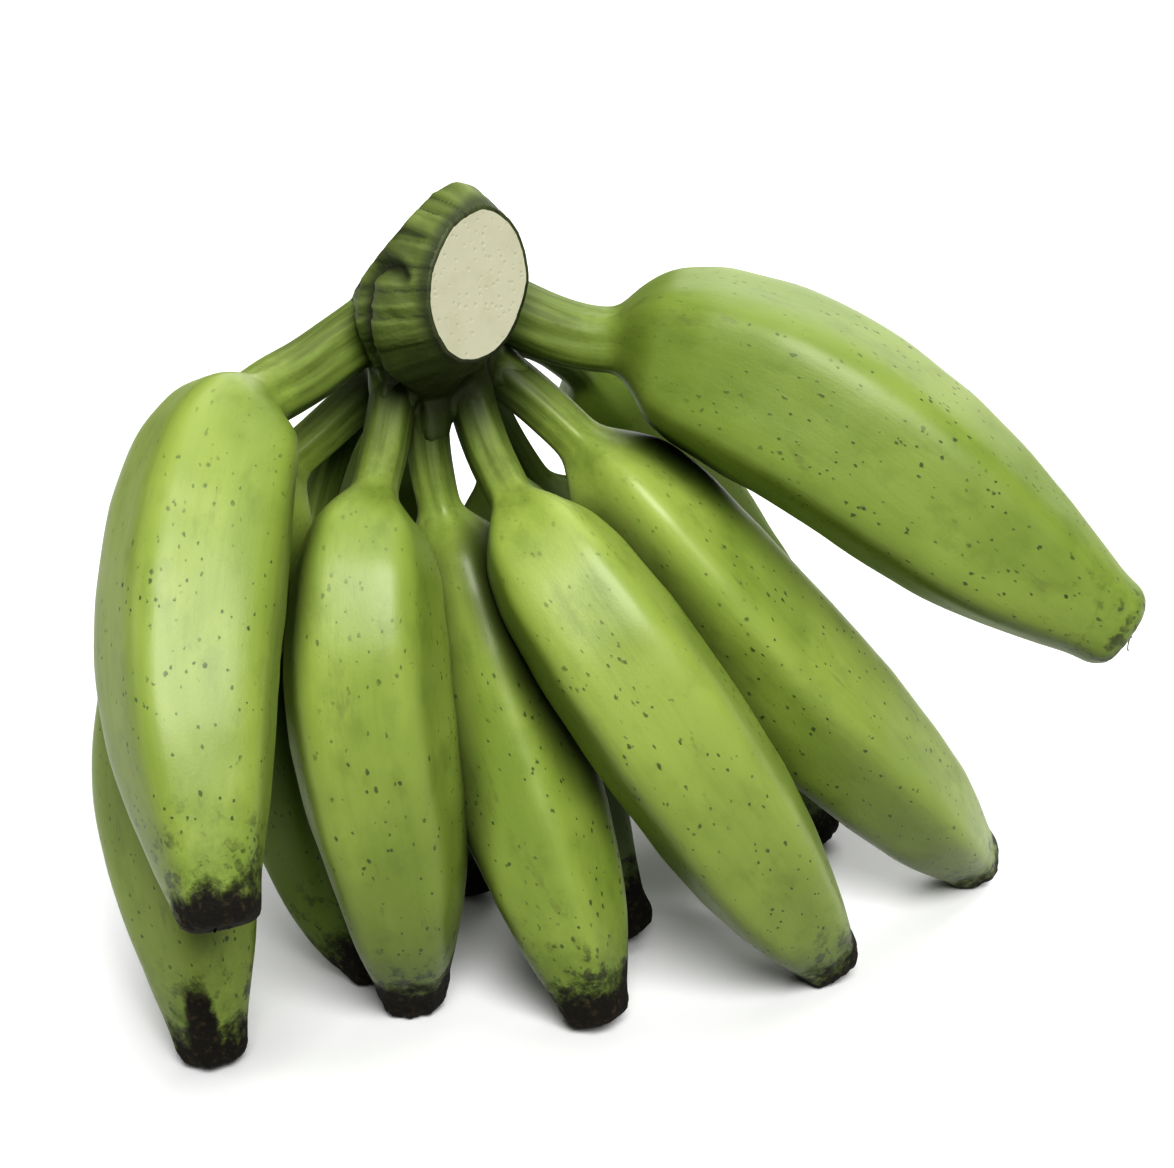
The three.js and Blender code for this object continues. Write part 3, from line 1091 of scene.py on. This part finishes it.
def crown_material():
    material, wire = start("crown")
    straight, ribs = stored(wire, "straight"), stored(wire, "ribs")
    depth, height, dark = (part(wire, ribs, axis) for axis in "XYZ")
    past_crown = part(wire, stored(wire, "shades"), "X")
    streaks = grain(wire, stretched(wire, straight, 0.1), 420, 3, 0.6)
    clouds = grain(wire, straight, 60, 3)
    on_rib = between(wire, height + (streaks - 0.5) * 0.8, 0.35, 0.95)
    colour = mixed(wire, on_rib, CROWN_GREEN, CROWN_LIGHT)
    # Painted shade in the grooves between the ribs.
    colour = mixed(wire, (1 - between(wire, height, 0.05, 0.35)) * 0.7, colour, CROWN_DARK)
    colour = mixed(wire, between(wire, clouds, 0.5, 0.75) * 0.4, colour, CROWN_DARK)
    rim = 1 - between(wire, depth + (clouds - 0.5) * 0.004, 0.0008, 0.004)
    colour = mixed(wire, rim * 0.75, colour, CROWN_DARK)
    # Painted shade in the crease and on the underside.
    colour = mixed(wire, dark * 0.9, colour, CROWN_DARK)
    # Painted shade on the collars, near the crown and between the stalks.
    collar = with_painted_shade(wire, past_crown, olive_streaks(wire, streaks))
    colour = mixed(wire, between(wire, past_crown, 0.0, 0.007), colour, collar)
    bump = streaks * 0.6 + grain(wire, straight, 900, 3) * 0.3
    finish_material(wire, colour, 0.5 + clouds * 0.2, bump, 0.5 * MM, 0.1, {"Coat Roughness": 0.4})
    return material


# %% [markdown]
# The cut is pale cream flesh with faint dots, the ends of its fibres. It is a flat face with
# nothing to follow, so its grain simply reads Object coordinates.

# %% Cut flesh
FLESH = (0.66, 0.65, 0.49, 1)
FLESH_DARK = (0.52, 0.51, 0.33, 1)


def flesh_material():
    material, wire = start("cut flesh")
    place = wire.node("ShaderNodeTexCoord", {}, {}, "Object")
    clouds = grain(wire, place, 120, 4)
    scattered = {"Vector": place, "Scale": 520}
    distance = wire.node("ShaderNodeTexVoronoi", {"feature": "F1"}, scattered, "Distance")
    fibres = 1 - between(wire, distance, 0.12, 0.3)
    colour = mixed(wire, between(wire, clouds, 0.45, 0.75) * 0.3, FLESH, FLESH_DARK)
    colour = mixed(wire, fibres * 0.18, colour, FLESH_DARK)
    finish_material(wire, colour, 0.62 + clouds * 0.1, clouds - fibres * 0.4, 0.15 * MM)
    return material


keep_ribs(CROWN)
CROWN.data.materials.append(crown_material())
CROWN.data.materials.append(flesh_material())
print("crown's materials:", [material.name for material in CROWN.data.materials])

# %% [markdown]
# ## Floor and light
# The hand stands on a plain white floor that reaches past the picture's edges. A sheet that
# curves up behind it would do as well, but here the sky is white to the camera, and the two run
# into each other. The floor throws no light back up, so that the hollows between the fruit and
# the undersides stay dark.

# %% Floor
FLOOR_REACH = 6  # metres
WHITE = (0.95, 0.95, 0.95, 1)


def add_floor():
    shape = bmesh.new()
    bmesh.ops.create_circle(shape, cap_ends=True, segments=64, radius=FLOOR_REACH)
    mesh = bpy.data.meshes.new("floor")
    shape.to_mesh(mesh)
    shape.free()
    floor = add("floor", mesh)
    material, wire = start("floor")
    place = wire.node("ShaderNodeTexCoord", {}, {}, "Object")
    finish_material(wire, WHITE, 0.9, grain(wire, place, 40), 0.01 * MM)
    floor.data.materials.append(material)
    return floor


floor = add_floor()
floor.visible_diffuse = False
print("floor:", 2 * FLOOR_REACH, "m across")

# %% [markdown]
# The light is that of a small studio. Large lamps could be set up, but a sun with a wide angle
# gives the same soft shadow edges, and is as strong at the back as in front. The key is high up
# in front and a little to the right. Weak ones come from above, the left and behind, so that
# the hand has no black side, and the dim sky fades out towards the horizon.

# %% Light
def add_sun(name, towards, strength, softness):
    """A sun that shines from the direction given, with its softness in degrees."""
    data = bpy.data.lights.new(name, "SUN")
    data.energy = strength
    data.angle = math.radians(softness)
    add(name, data).rotation_euler = Vector(towards).to_track_quat("Z", "Y").to_euler()


def add_sky(strength):
    """Light overhead that fades out towards the horizon, before a white backdrop."""
    world = bpy.data.worlds.new("sky")
    world.use_nodes = True
    wire = Wire(world.node_tree)
    way = wire.node("ShaderNodeTexCoord", {}, {}, "Generated")
    above = between(wire, part(wire, way, "Z"), -0.05, 0.35)
    seen = wire.node("ShaderNodeLightPath", {}, {}, "Is Camera Ray")
    background = world.node_tree.nodes["Background"]
    background.inputs["Color"].default_value = (1, 1, 1, 1)
    glow = above * strength * (1 - seen) + seen
    world.node_tree.links.new(glow.socket, background.inputs["Strength"])
    bpy.context.scene.world = world


add_sun("key", (0.18, -0.85, 0.88), 2.75, 32)
add_sun("overhead", (0.2, 0.3, 1.0), 0.8, 45)
add_sun("left fill", (-1.0, -0.2, 0.3), 0.4, 40)
add_sun("back fill", (0.35, 1.0, 0.5), 0.8, 50)
add_sky(0.08)
bpy.context.scene.view_settings.view_transform = "Standard"
bpy.context.scene.view_settings.look = "High Contrast"
print("lights:", [light.name for light in bpy.data.lights])
